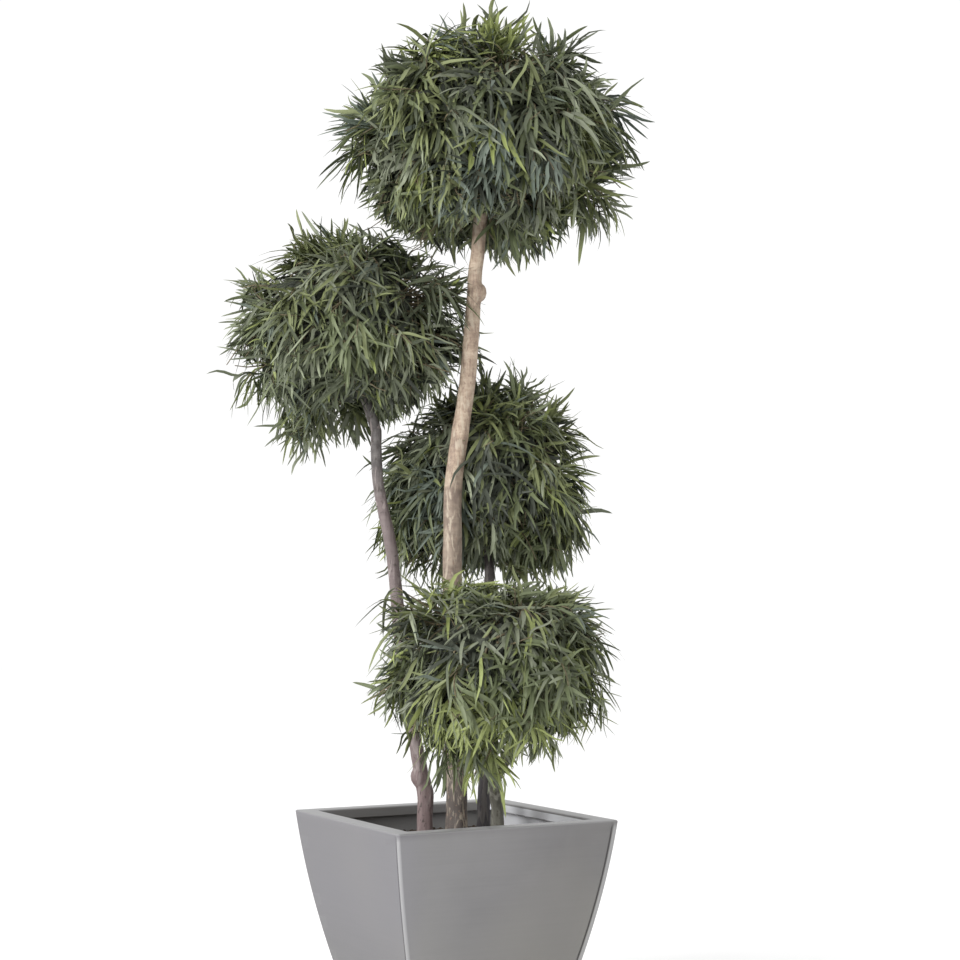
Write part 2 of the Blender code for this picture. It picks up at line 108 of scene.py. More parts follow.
# A place on a head starts with its bearing and rise in degrees. lobes and hollows: place, swell and half
# width where the outline swells or draws in. stray: place, reach and shoots of a bunch that stands out.
# tones: weights of the leaf colours below. patches: place, half width and the colour that most leaves have;
# the darkest patches, in hollows and low on the heads, are painted shade
heads = {
    "top_head": {
        "centre": (0.074, -0.041, 2.197),
        "spread": 0.404,
        "up": 0.371,
        "down": 0.292,
        "boxiness": 2.2,
        "shoots": 900,
        "clumps": 115,
        "leafSize": 0.97,
        "lobes": [
            (-29, 9, -0.27, 9), (-29, 28, 0.07, 11), (-29, 68, 0.17, 10), (0, 90, 0.09, 10),
            (151, 68, -0.41, 9), (151, 48, 0.13, 9), (151, 28, -0.12, 10), (151, 9, 0.19, 10),
            (151, -7, -0.16, 9), (151, -46, 0.07, 14), (0, -90, -0.54, 14), (-29, -63, 0.00, 12),
            (-29, -41, -0.17, 10), (-29, -23, -0.44, 10), (-29, -7, 0.17, 8),
        ],
        "hollows": [(-103, 22, -0.20, 12), (-141, -2, -0.20, 9), (-128, -18, -0.16, 8)],
        "stray": [
            (-29, -22, 1.16, 5), (-31, -14, 1.08, 4), (-29, 24, 1.08, 6), (-29, 58, 1.06, 5),
            (151, 80, 1.04, 5), (151, 9, 1.09, 6), (115, 12, 1.05, 5), (-29, -74, 1.06, 5),
            (60, -20, 1.10, 5), (95, 40, 1.08, 5), (151, -52, 1.14, 5), (151, -38, 1.12, 4),
        ],
        "tones": (3.5, 5, 5.5, 2, 2, 1, 1.5, 0),
        "patches": [
            (-122, -22, 24, "bluish"), (-103, 22, 17, "deep"), (-141, -2, 11, "deep"),
            (-146, 24, 16, "olive"), (-66, -20, 22, "olive"), (-112, 70, 18, "fresh"),
            (-72, -26, 20, "greyish"),
        ],
        "seed": 11,
    },
    "left_head": {
        "centre": (-0.221, 0.180, 1.723),
        "spread": 0.313,
        "up": 0.313,
        "down": 0.288,
        "boxiness": 2.6,
        "shoots": 640,
        "clumps": 80,
        "leafSize": 0.80,
        "lobes": [
            (-27, 9, 0.34, 14), (-27, 30, 0.46, 12), (-27, -9, 0.36, 12), (-27, -28, 0.10, 12),
            (-29, 55, 0.08, 14), (151, 70, 0.25, 9), (151, 50, -0.17, 9), (151, 30, 0.13, 9),
            (151, 10, 0.14, 9), (151, -8, 0.25, 9), (151, -28, -0.55, 12), (151, -47, -0.23, 10),
            (151, -68, 0.02, 12), (0, -90, -0.55, 14),
        ],
        "hollows": [(-101, 19, -0.20, 11), (-127, -34, -0.16, 11)],
        "stray": [
            (151, -23, 1.22, 3), (158, -30, 0.86, 3), (151, -64, 1.27, 5), (165, -60, 1.19, 4),
            (151, -56, 1.18, 3), (151, 5, 1.07, 4), (151, 78, 1.09, 4), (-21, 24, 1.40, 3),
            (-17, 7, 1.38, 3), (-19, -8, 1.36, 3), (-26, 44, 1.20, 5), (60, -45, 1.10, 4),
            (-29, 72, 1.14, 6),
        ],
        "tones": (5, 5.5, 4.5, 2, 1.4, 1, 1, 0),
        "patches": [
            (-101, 19, 16, "deep"), (-124, -38, 22, "deep"), (-145, -22, 14, "deep"),
            (-98, -34, 16, "deep"), (-141, 20, 18, "olive"), (-115, 0, 12, "mid"),
            (-131, 38, 15, "greyish"),
        ],
        "seed": 23,
    },
    "middle_head": {
        "centre": (0.176, 0.131, 1.355),
        "spread": 0.300,
        "up": 0.288,
        "down": 0.284,
        "boxiness": 2.3,
        "shoots": 560,
        "clumps": 72,
        "leafSize": 0.90,
        "lobes": [
            (-29, 9, 0.20, 10), (-29, 29, 0.07, 9), (-29, 49, 0.25, 10), (-29, 69, 0.02, 10),
            (0, 90, 0.54, 13), (151, 10, 0.11, 10), (151, -9, 0.21, 10), (151, -29, 0.19, 12),
            (151, -45, 0.12, 12), (-29, -48, 0.41, 11), (-29, -29, 0.12, 10), (-29, -9, 0.28, 9),
            (0, -90, -0.18, 22),
        ],
        "hollows": [(-107, -6, -0.40, 17), (-150, 40, -0.10, 10)],
        "stray": [
            (-29, 70, 1.16, 5), (-35, -22, 1.12, 4), (-29, 37, 1.08, 4), (-31, -52, 1.27, 4),
            (151, -15, 1.24, 3), (155, -29, 1.28, 3), (151, -40, 1.32, 3), (140, -58, 1.14, 4),
            (151, 60, 1.10, 5), (60, 86, 1.06, 4), (70, -50, 1.10, 4), (-29, -68, 1.14, 4),
        ],
        "tones": (1.5, 5, 5.5, 2, 1.2, 1.4, 2, 0),
        "patches": [
            (-154, -10, 26, "bluish"), (-66, 20, 25, "olive"), (-161, 28, 16, "deep"),
            (-107, -2, 28, "dusky"), (-131, -10, 6, "fresh"), (-110, -52, 20, "deep"),
        ],
        "seed": 37,
    },
    "low_head": {
        "centre": (-0.005, -0.226, 0.872),
        "spread": 0.303,
        "up": 0.240,
        "down": 0.218,
        "boxiness": 2.7,
        "shoots": 580,
        "clumps": 72,
        "leafSize": 0.82,
        "lobes": [
            (-29, 8, -0.17, 9), (-29, 25, 0.27, 10), (-29, 43, 0.28, 11), (151, 43, 0.55, 12),
            (151, 25, 0.20, 10), (151, 8, 0.07, 8), (151, -7, 0.34, 9), (151, -23, -0.03, 9),
            (151, -41, 0.12, 11), (0, -90, -0.54, 14), (-29, -63, -0.43, 10), (-29, -41, -0.10, 10),
            (-29, -23, -0.15, 10), (-29, -7, 0.06, 8),
        ],
        "hollows": [(-124, 22, -0.30, 14)],
        "stray": [
            (151, -65, 1.56, 3), (165, -79, 1.64, 3), (-60, -85, 1.58, 3), (205, -66, 1.34, 4),
            (151, -50, 1.20, 3), (151, -8, 1.10, 5), (151, 31, 1.08, 4), (-29, 20, 1.08, 5),
            (-29, -13, 1.10, 5), (-29, -52, 1.14, 4), (-100, -40, 1.06, 4), (60, -60, 1.12, 4),
        ],
        "tones": (2, 5, 5.5, 2.5, 1.4, 2, 0.8, 0),
        "patches": [(-142, -50, 36, "fresh"), (-124, 22, 15, "dusky"), (-75, -30, 18, "mid"),
                    (-104, 45, 22, "greyish"), (-152, 44, 15, "greyish")],
        "seed": 41,
    },
}

# The solids' cores, as shares of the heads' outlines, and how far under them a stem's tip stays
coreShare = 0.80
coreUneven = 0.04
stemShown = 0.015


# A socket whose operators add Math nodes, in a material or a geometry tree
class Wire:
    def __init__(self, board, socket):
        self.board = board
        self.socket = socket

    def math(self, operation, first, second):
        return self.board.add("ShaderNodeMath", {0: first, 1: second}, operation=operation)

    def __add__(self, other):
        return self.math("ADD", self, other)

    def __radd__(self, other):
        return self.math("ADD", other, self)

    def __sub__(self, other):
        return self.math("SUBTRACT", self, other)

    def __rsub__(self, other):
        return self.math("SUBTRACT", other, self)

    def __mul__(self, other):
        return self.math("MULTIPLY", self, other)

    def __rmul__(self, other):
        return self.math("MULTIPLY", other, self)


# A node tree. add takes a node's type, its sockets' values or wires and its settings
class Board:
    def __init__(self, tree):
        self.tree = tree

    def add(self, kind, sockets=None, out=0, **settings):
        node = self.tree.nodes.new(kind)
        for name, value in settings.items():
            if name == "stops":
                setStops(node.color_ramp, value)
            else:
                setattr(node, name, value)
        for name, value in (sockets or {}).items():
            if isinstance(value, Wire):
                self.tree.links.new(value.socket, node.inputs[name])
            elif isinstance(value, list):
                for wire in value:
                    self.tree.links.new(wire.socket, node.inputs[name])
            else:
                node.inputs[name].default_value = value
        return Wire(self, node.outputs[out])


def setStops(ramp, stops):
    while len(ramp.elements) < len(stops):
        ramp.elements.new(1)
    for element, (place, colour) in zip(ramp.elements, stops):
        element.position = place
        element.color = (*colour, 1)


def startMaterial(name, colour, roughness, metallic=0.0):
    material = bpy.data.materials.new(name)
    material.use_nodes = True
    shader = material.node_tree.nodes["Principled BSDF"]
    shader.inputs["Base Color"].default_value = (*colour, 1)
    shader.inputs["Roughness"].default_value = roughness
    shader.inputs["Metallic"].default_value = metallic
    return material, Board(material.node_tree), shader


def patternPlace(board, scale):
    place = board.add("ShaderNodeTexCoord", out="Object")
    return board.add("ShaderNodeMapping", {"Vector": place, "Scale": scale})


# Noises by name, on a piece's own coordinates: stretch, scale, detail, roughness and distortion of each
def patterns(board, made, *names):
    wires = []
    for name in names:
        stretch, scale, detail, roughness, distortion = made[name]
        sockets = {"Vector": patternPlace(board, stretch), "Scale": scale, "Detail": detail,
                   "Roughness": roughness, "Distortion": distortion}
        wires.append(board.add("ShaderNodeTexNoise", sockets))
    return wires


def colourRamp(board, share, stops):
    return board.add("ShaderNodeValToRGB", {"Fac": share}, stops=stops)


def blend(board, share, colour, over):
    sockets = {0: share, 6: colour, 7: (*over, 1)}
    return board.add("ShaderNodeMix", sockets, out=2, data_type="RGBA")


# Goes from first to last as value goes from start to end
def ranged(board, value, start, end, first, last):
    sockets = {"Value": value, 1: start, 2: end, 3: first, 4: last}
    return board.add("ShaderNodeMapRange", sockets)


def scaled(board, vector, size):
    return board.add("ShaderNodeVectorMath", {0: vector, "Scale": size}, operation="SCALE")


def plug(board, wire, shader, name):
    board.tree.links.new(wire.socket, shader.inputs[name])


def bump(board, shader, height, strength, distance):
    sockets = {"Height": height, "Strength": strength, "Distance": distance}
    plug(board, board.add("ShaderNodeBump", sockets), shader, "Normal")


# From dark to light between two shares of the tone
def darkToLight(board, made, tone):
    return colourRamp(board, tone, list(zip(made["toneBand"], (made["dark"], made["light"]))))


def grainedMaterial(name, made):
    material, board, shader = startMaterial(name, made["light"], made["roughness"])
    plug(board, darkToLight(board, made, *patterns(board, made, "grain")), shader, "Base Color")
    return material


def newObject(name, data):
    piece = bpy.data.objects.new(name, data)
    bpy.context.scene.collection.objects.link(piece)
    return piece


# A number or a vector for each point of a mesh
def addLayer(mesh, name, values):
    values = np.array(values, np.float32)
    kind, field = ("FLOAT", "value") if values.ndim == 1 else ("FLOAT_VECTOR", "vector")
    mesh.attributes.new(name, kind, "POINT").data.foreach_set(field, values.ravel())


def finishPiece(piece, slot, node):
    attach(piece, "root")
    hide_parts(node)


# A geometry tree with its named inputs, which come back as wires
def geometryTree(name, inputs):
    tree = bpy.data.node_groups.new(name, "GeometryNodeTree")
    tree.interface.new_socket("Geometry", in_out="INPUT", socket_type="NodeSocketGeometry")
    for label, (kind, value) in inputs.items():
        socket = tree.interface.new_socket(label, in_out="INPUT", socket_type="NodeSocket" + kind)
        socket.default_value = value
    tree.interface.new_socket("Geometry", in_out="OUTPUT", socket_type="NodeSocketGeometry")
    board = Board(tree)
    start = tree.nodes.new("NodeGroupInput")
    return board, {socket.name: Wire(board, socket) for socket in start.outputs}


def endTree(board, geometry):
    end = board.tree.nodes.new("NodeGroupOutput")
    board.tree.links.new(geometry.socket, end.inputs[0])


def endRealized(board, geometry, material):
    real = board.add("GeometryNodeRealizeInstances", {"Geometry": geometry})
    endTree(board, board.add("GeometryNodeSetMaterial", {"Geometry": real, "Material": material}))


# Runs a tree on a mesh and keeps the result as a piece with a plain mesh
def runTree(start, board, name, values):
    source = newObject(name, start)
    modifier = source.modifiers.new(name, "NODES")
    modifier.node_group = board.tree
    for item in board.tree.interface.items_tree:
        if item.in_out == "INPUT" and item.name in values:
            modifier[item.identifier] = values[item.name]
    bpy.context.view_layer.update()
    graph = bpy.context.evaluated_depsgraph_get()
    mesh = bpy.data.meshes.new_from_object(source.evaluated_get(graph))
    bpy.data.objects.remove(source)
    bpy.data.meshes.remove(start)
    mesh.name = name
    return newObject(name, mesh)


def attribute(board, name, kind="FLOAT"):
    return board.add("GeometryNodeInputNamedAttribute", {"Name": name}, data_type=kind)


# A tube along the edges that a tree is given, as thick as their "thick"
def tubeAlong(board, given):
    line = board.add("GeometryNodeMeshToCurve", {"Mesh": given["Geometry"]})
    ring = board.add("GeometryNodeCurvePrimitiveCircle", {"Resolution": given["Sides"], "Radius": 1.0})
    sockets = {"Curve": line, "Profile Curve": ring, "Scale": attribute(board, "thick"), "Fill Caps": True}
    return board.add("GeometryNodeCurveToMesh", sockets)


# Camera and light
cameraSet = {
    "place": (-2.12322, -3.96821, 1.00083),
    "bearing": -29.0287,
    "pitch": 4.34106,
    "lens": 66.459,
    "sensor": 36.0,
    "farEnd": 200,
}
lightSet = {
    "skyColour": (1.0, 1.0, 1.0),
    "skyStrength": 1.04,
    "key": {"place": (-6.0, -1.4, 3.0), "size": 3.0, "power": 430},
    "fill": {"place": (1.5, -6.5, 4.5), "size": 4.0, "power": 40},
    "aim": (0.0, 0.0, 1.3),
    "floorSide": 60.0,
    "floorColour": (0.97, 0.97, 0.97),
    "floorRoughness": 0.9,
}


def makeCamera():
    camera = bpy.data.cameras.new("photo camera")
    camera.lens = cameraSet["lens"]
    camera.sensor_width = cameraSet["sensor"]
    camera.clip_end = cameraSet["farEnd"]
    holder = newObject("photo camera", camera)
    holder.location = cameraSet["place"]
    holder.rotation_euler = (
        math.radians(90 + cameraSet["pitch"]), 0, math.radians(cameraSet["bearing"])
    )
    bpy.context.scene.camera = holder


def makeLight(name):
    made = lightSet[name]
    light = bpy.data.lights.new(name + " light", "AREA")
    light.energy = made["power"]
    light.size = made["size"]
    holder = newObject(name + " light", light)
    holder.location = made["place"]
    aim = Vector(lightSet["aim"]) - holder.location
    holder.rotation_euler = aim.to_track_quat("-Z", "Y").to_euler()


def makeStudio():
    world = bpy.data.worlds.new("studio")
    world.use_nodes = True
    sky = world.node_tree.nodes["Background"]
    sky.inputs["Color"].default_value = (*lightSet["skyColour"], 1)
    sky.inputs["Strength"].default_value = lightSet["skyStrength"]
    bpy.context.scene.world = world
    bpy.context.scene.view_settings.view_transform = "Standard"
    makeLight("key")
    makeLight("fill")
    shape = bmesh.new()
    bmesh.ops.create_grid(shape, x_segments=2, y_segments=2, size=lightSet["floorSide"] / 2)
    floor = newObject("floor", meshOf(shape, "floor"))
    finish = startMaterial("pale floor", lightSet["floorColour"], lightSet["floorRoughness"])
    floor.data.materials.append(finish[0])


def meshOf(shape, name):
    mesh = bpy.data.meshes.new(name)
    shape.to_mesh(mesh)
    shape.free()
    return mesh


makeCamera()
makeStudio()
print("camera and studio are set")


# Planter: curved sheet walls, a rolled rim and a bead down the right end of each wall
planterSet = {
    "levels": 36,
    "panelSteps": 10,
    "leftRound": 0.004,
    "bead": [
        (0.0185, 0.0000), (0.0172, -0.0014), (0.0156, -0.0028), (0.0138, -0.0028),
        (0.0126, -0.0010), (0.0112, 0.0006), (0.0085, 0.0014), (0.0055, 0.0012),
        (0.0028, 0.0002), (0.0009, -0.0014), (0.0000, -0.0040),
    ],
    "beadFade": 0.012,
    "rimRound": 0.0045,
    "roundSteps": 5,
    "lip": 0.002,
    "insideLevels": 8,
    "insideBelowSoil": 0.03,
    "sharpFrom": 38,
    "cloud": ((1, 1, 1), 4.0, 5.0, 0.6, 0.4),
    "streak": ((3, 3, 150), 1.0, 4.0, 0.65, 0.0),
    "fine": ((14, 14, 700), 1.0, 2.0, 0.6, 0.0),
    "slow": ((1, 1, 1), 1.7, 2.0, 0.5, 0.0),
    "dark": (0.138, 0.135, 0.137),
    "light": (0.180, 0.176, 0.178),
    "toneBand": (0.32, 0.70),
    "warm": (0.192, 0.186, 0.172),
    "warmBand": (0.40, 0.62),
    "warmPart": 0.8,
    "cool": (0.159, 0.155, 0.170),
    "coolBand": (-0.27, -0.21),
    "coolPart": 0.6,
    # Colours of painted highlight, painted light and painted shade, laid on by the marks below
    "rubbed": (0.36, 0.36, 0.362),
    "grimy": (0.060, 0.058, 0.060),
    "bright": (0.87, 0.88, 0.91),
    "lightBands": [("rubbed", 0.0, 1.0, 0.9), ("bright", 1.0, 2.0, 1.0), ("grimy", 0.0, -1.0, 0.9)],
    # Painted shade in the groove beside each bead and a painted highlight along the bead
    "beadLightMarks": [0.0, -0.4, -0.9, -0.9, -0.3, 0.5, 0.7, 0.7, 0.6, 0.5, 0.4],
    # Painted highlight along the top of the rim
    "rimHighlight": 0.75,
    # Inside walls front, right, back, left: painted shade on front and left, painted light on right, painted
    # highlight on back
    "insideLightMarks": [-0.3, 2.0, 0.19, -0.12],
    # Painted highlight towards the front wall's left end and painted shade along the left wall, given at each
    # wall's two ends
    "wallLightMarks": [(0.25, -0.05), (0.0, 0.0), (0.0, 0.0), (-0.13, -0.04)],
    "roughness": 0.46,
    "roughVary": 0.14,
    "metallic": 0.45,
    "bump": (0.07, 0.0005),
}


def planterHalf(z):
    size = planterSize
    depth = size["height"] - z
    bow = (size["side"] - size["baseSide"]) / 2 - size["leanAtRim"] * size["height"]
    return size["side"] / 2 - size["leanAtRim"] * depth - bow * (depth / size["height"]) ** 2


# One level ring of the planter. beadDepth 1 is the full bead, 0 a plain corner
def planterRing(half, z, beadDepth):
    side = []
    left = -half + planterSet["leftRound"]
    right = half - planterSet["bead"][0][0]
    for i in range(planterSet["panelSteps"]):
        share = i / planterSet["panelSteps"]
        side.append((left + (right - left) * share, -half))
    for along, out in planterSet["bead"]:
        corner = max(0.0, planterSet["leftRound"] - along) / planterSet["leftRound"]
        plain = -planterSet["leftRound"] * (1 - math.sqrt(1 - corner**2))
        side.append((half - along, -half - (out * beadDepth + plain * (1 - beadDepth))))
    ring = []
    for quarter in range(4):
        turn = Matrix.Rotation(quarter * math.pi / 2, 3, "Z")
        ring += [turn @ Vector((x, y, z)) for x, y in side]
    return ring


# Half sides, heights, bead depths, the rim's painted highlight and share of the inside's painted light and
# shade, up, over and down again
def planterRings():
    size, made = planterSize, planterSet
    top = size["height"]
    rolled = made["rimRound"]
    quarter = [i * math.pi / 2 / made["roundSteps"] for i in range(made["roundSteps"] + 1)]
    rings = []
    for i in range(made["levels"]):
        z = (top - rolled) * i / (made["levels"] - 1)
        fade = min(1.0, (top - rolled - z) / made["beadFade"])
        rings.append((planterHalf(z), z, fade, 0, 0))
    outer = planterHalf(top)
    inner = outer - size["rimWidth"]
    for a in quarter[1:]:
        half = outer - rolled * (1 - math.cos(a))
        rings.append((half, top - rolled * (1 - math.sin(a)), 0, made["rimHighlight"] * math.sin(a), 0))
    for a in quarter:
        half = inner + rolled * (1 - math.sin(a))
        rings.append((half, top - rolled * (1 - math.cos(a)), 0, made["rimHighlight"] * math.cos(a), 0))
    rings.append((inner, top - rolled - made["lip"], 0, 0, 1))
    rings.append((inner, top - size["rimDepth"], 0, 0, 1))
    under = top - size["rimDepth"] - made["lip"]
    rings.append((inner + made["lip"], under, 0, 0, 1))
    floorHeight = soilTop - made["insideBelowSoil"]
    for i in range(made["insideLevels"]):
        z = under + (floorHeight - under) * i / (made["insideLevels"] - 1)
        rings.append((planterHalf(z) - size["wall"], z, 0, 0, 1))
    return rings


# Brushed level, with cloudy patches and cooler on the left wall; marks lay on painted highlights, light and
# shade
def zincMaterial():
    made = planterSet
    material, board, shader = startMaterial(
        "brushed zinc", made["light"], made["roughness"], made["metallic"]
    )
    cloud, streak, fine, slow = patterns(board, made, "cloud", "streak", "fine", "slow")
    sheet = darkToLight(board, made, cloud * 0.75 + streak * 0.25)
    warmth = ranged(board, slow, *made["warmBand"], 0.0, made["warmPart"])
    sheet = blend(board, warmth, sheet, made["warm"])
    whole = patternPlace(board, (1, 1, 1))
    across = board.add("ShaderNodeSeparateXYZ", {"Vector": whole}, out="X")
    cooled = ranged(board, across, *made["coolBand"], made["coolPart"], 0.0)
    sheet = blend(board, cooled, sheet, made["cool"])
    # Each point's mark blends in painted highlight and painted light above 0, painted shade below 0
    lightMark = board.add("ShaderNodeAttribute", out="Fac", attribute_name="edge")
    for name, start, end, part in made["lightBands"]:
        sheet = blend(board, ranged(board, lightMark, start, end, 0.0, part), sheet, made[name])
    plug(board, sheet, shader, "Base Color")
    vary = made["roughVary"]
    plug(board, made["roughness"] - vary / 2 + cloud * vary, shader, "Roughness")
    bump(board, shader, streak * 0.6 + fine * 0.4, *made["bump"])
    return material


def makePlanter():
    shape = bmesh.new()
    rings, lightMarks = [], []
    for half, z, beadDepth, rimLight, inside in planterRings():
        rings.append([shape.verts.new(point) for point in planterRing(half, z, beadDepth)])
        # Each point's mark of painted light and shade: wall and bead marks faded with the bead, rim
        # highlight, inside walls
        for ends, insideLight in zip(planterSet["wallLightMarks"], planterSet["insideLightMarks"]):
            wall = list(np.linspace(*ends, planterSet["panelSteps"])) + planterSet["beadLightMarks"]
            lightMarks += [lightMark * beadDepth + rimLight + insideLight * inside for lightMark in wall]
    for low, high in zip(rings, rings[1:]):
        for i in range(len(low)):
            j = (i + 1) % len(low)
            shape.faces.new((low[i], low[j], high[j], high[i]))
    shape.faces.new(list(reversed(rings[0])))
    shape.faces.new(rings[-1])
    bmesh.ops.recalc_face_normals(shape, faces=shape.faces)
    mesh = meshOf(shape, "planter_shell")
    addLayer(mesh, "edge", lightMarks)
    mesh.shade_smooth()
    mesh.set_sharp_from_angle(angle=math.radians(planterSet["sharpFrom"]))
    mesh.materials.append(zincMaterial())
    finishPiece(newObject("planter_shell", mesh), "planter_zinc", "planter")


makePlanter()
print("planter is made")


# Soil: a lumpy surface with loose crumbs on it
soilSet = {
    "steps": 90,
    "underWall": 0.001,
    "lump": 0.007,
    "lumpNoise": {"Scale": 16.0, "Detail": 5.0, "Roughness": 0.6},
    "crumbs": 1500,
    "crumbSmall": 0.002,
    "crumbLarge": 0.0065,
    "crumbTurn": (6.28, 6.28, 6.28),
    "seed": 5,
    "dark": (0.020, 0.014, 0.010),
    "light": (0.085, 0.060, 0.042),
    "roughness": 0.95,
    "grain": ((1, 1, 1), 130.0, 6.0, 0.7, 0.0),
    "damp": ((1, 1, 1), 9.0, 3.0, 0.5, 0.0),
    "toneBand": (0.35, 0.72),
    "bump": (0.8, 0.003),
}


def soilMaterial():
    made = soilSet
    material, board, shader = startMaterial("potting soil", made["light"], made["roughness"])
    grain, damp = patterns(board, made, "grain", "damp")
    plug(board, darkToLight(board, made, grain * 0.65 + damp * 0.35), shader, "Base Color")
    bump(board, shader, grain, *made["bump"])
    return material


def soilTree(material):
    board, given = geometryTree("soil surface", {
        "Lump": ("Float", soilSet["lump"]),
        "Crumbs": ("Float", 0.0),
        "Crumb Small": ("Float", soilSet["crumbSmall"]),
        "Crumb Large": ("Float", soilSet["crumbLarge"]),
        "Seed": ("Int", soilSet["seed"]),
    })
    lumps = board.add("ShaderNodeTexNoise", soilSet["lumpNoise"])
    rise = board.add("ShaderNodeCombineXYZ", {"Z": (lumps - 0.5) * given["Lump"] * 2})
    ground = board.add("GeometryNodeSetPosition", {"Geometry": given["Geometry"], "Offset": rise})
    sockets = {"Mesh": ground, "Density": given["Crumbs"], "Seed": given["Seed"]}
    points = board.add("GeometryNodeDistributePointsOnFaces", sockets)
    crumb = board.add("GeometryNodeMeshIcoSphere", {"Radius": 1.0, "Subdivisions": 1})
    sockets = {"Min": (0, 0, 0), "Max": soilSet["crumbTurn"], "Seed": given["Seed"]}
    turn = board.add("FunctionNodeRandomValue", sockets, data_type="FLOAT_VECTOR")
    sockets = {2: given["Crumb Small"], 3: given["Crumb Large"], 8: given["Seed"]}
    size = board.add("FunctionNodeRandomValue", sockets, out=1, data_type="FLOAT")
    sockets = {"Points": points, "Instance": crumb, "Rotation": turn, "Scale": size}
    placed = board.add("GeometryNodeInstanceOnPoints", sockets)
    joined = board.add("GeometryNodeJoinGeometry", {0: [ground, placed]})
    endRealized(board, joined, material)
    return board


def makeSoil():
    half = planterHalf(soilTop) - planterSize["wall"] + soilSet["underWall"]
    shape = bmesh.new()
    bmesh.ops.create_grid(
        shape, x_segments=soilSet["steps"], y_segments=soilSet["steps"], size=half,
        matrix=Matrix.Translation((0, 0, soilTop)),
    )
    start = meshOf(shape, "soil start")
    board = soilTree(soilMaterial())
    density = soilSet["crumbs"] / (4 * half * half)
    piece = runTree(start, board, "soil_surface", {"Crumbs": density})
    piece.data.shade_smooth()
    finishPiece(piece, "potting_soil", "soil")


makeSoil()
print("soil is made")


# Limbs: a tube along each route, its foot flared, with knots and a relief of bark
barkSet = {
    "fineStep": 0.005,
    "sides": 44,
    "flareHeight": 0.030,
    "taperPower": 1.7,
    "ridgeDepth": 0.0020,
    "footRelief": 1.6,
    "footBand": (0.56, 0.72),
    "footRagged": 0.30,
    # Below this ragged height each limb's foot colour is mixed in, on the trunk and front stem partly as
    # painted shade from the heads above
    "lowBarkAndShadeBand": (1.28, 1.38),
    "lowBarkAndShadeRagged": 0.12,
    "lowBarkAndShade": 0.48,
    "lumpDepth": 0.0022,
    "ridges": ((1.0, 1.0, 0.12), 95.0, 4.0),
    "lumps": ((1.0, 1.0, 0.45), 17.0, 2.0),
    "furrow": ((1, 1, 0.10), 150.0, 6.0, 0.72, 0.0),
    "peeled": ((1, 1, 0.22), 60.0, 4.0, 0.6, 0.8),
    "patch": ((1, 1, 0.65), 36.0, 4.0, 0.6, 0.8),
    "rings": ((0.25, 0.25, 1), 110.0, 3.0, 0.6, 0.0),
    "speck": ((1, 1, 0.6), 150.0, 2.0, 0.5, 0.0),
    "toneStops": {"shade": 0.41, "middle": 0.50, "light": 0.60},
    "speckBand": (0.60, 0.68),
    "speckPart": 0.75,
    "peeledBand": (0.54, 0.61),
    "peeledPart": 0.65,
    "scarHeart": 0.4,
    "scarPart": 0.9,
    "roughness": 0.72,
    "roughVary": 0.2,
    "bump": (0.9, 0.0024),
    "seed": 3,
    "intoHead": 0.10,
    "underSoil": 0.010,
}


# Middle of the cut at a limb's tip, just under the dense inside of its head
def tipOf(limb):
    head = heads[limb["head"]]
    x, y, z = head["centre"]
    power = head["boxiness"]
    level = math.hypot(limb["tip"][0] - x, limb["tip"][1] - y) / head["spread"]
    drop = ((coreShare + coreUneven) ** power - level**power) ** (1 / power) * head["down"]
    return Vector((*limb["tip"], z - drop - stemShown))


# Evenly spaced points on a smooth line through the route, upright at both ends
def smoothRoute(points, step):
    points = [Vector(point) for point in points]
    route = []
    for i in range(len(points) - 1):
        start, end = points[i], points[i + 1]
        span = (end - start).length
        leave = (end - points[i - 1]) if i > 0 else Vector((0, 0, span))
        arrive = (points[i + 2] - start) if i + 2 < len(points) else Vector((0, 0, span))
        leave = leave.normalized() * span
        arrive = arrive.normalized() * span
        steps = max(2, round(span / step))
        for k in range(steps):
            t = k / steps
            route.append(
                start * (2 * t**3 - 3 * t**2 + 1)
                + leave * (t**3 - 2 * t**2 + t)
                + end * (3 * t**2 - 2 * t**3)
                + arrive * (t**3 - t**2)
            )
    route.append(points[-1])
    return route


def limbRadius(limb, z):
    foot, tip = soilTop, tipOf(limb).z
    share = max(0, min(1, (z - foot) / (tip - foot)))
    taper = limb["footRadius"] - (limb["footRadius"] - limb["tipRadius"]) * share ** barkSet["taperPower"]
    return taper + limb["flare"] * math.exp(-max(0, z - foot) / barkSet["flareHeight"])


def bearingDirection(bearing, rise):
    bearing, rise = math.radians(bearing), math.radians(rise)
    level = math.cos(rise)
    return Vector((math.cos(bearing) * level, math.sin(bearing) * level, math.sin(rise)))


# Edges along each line, with a thickness for each point
def edgeMesh(lines, thick):
    edges, start = [], 0
    for line in lines:
        edges += [(start + i, start + i + 1) for i in range(len(line) - 1)]
        start += len(line)
    mesh = bpy.data.meshes.new("lines")
    mesh.from_pydata([tuple(point) for line in lines for point in line], edges, [])
    addLayer(mesh, "thick", thick)
    return mesh


# A knot shifts the limb's line to one side and thickens it there
def limbLine(limb):
    tip = tipOf(limb)
    heart = Vector(heads[limb["head"]]["centre"])
    inside = tip + (heart - tip).normalized() * barkSet["intoHead"]
    line = smoothRoute(limb["route"] + [tip], barkSet["fineStep"]) + [inside]
    radii = [limbRadius(limb, point.z) for point in line]
    for height, bearing, swell, halfLength in limb["knots"]:
        side = bearingDirection(bearing, 0)
        for i, point in enumerate(line):
            near = math.exp(-((point.z - height) / halfLength) ** 2)
            radii[i] += swell * near
            line[i] = point + side * swell * near
    line[0].z -= barkSet["underSoil"]
    return line, radii
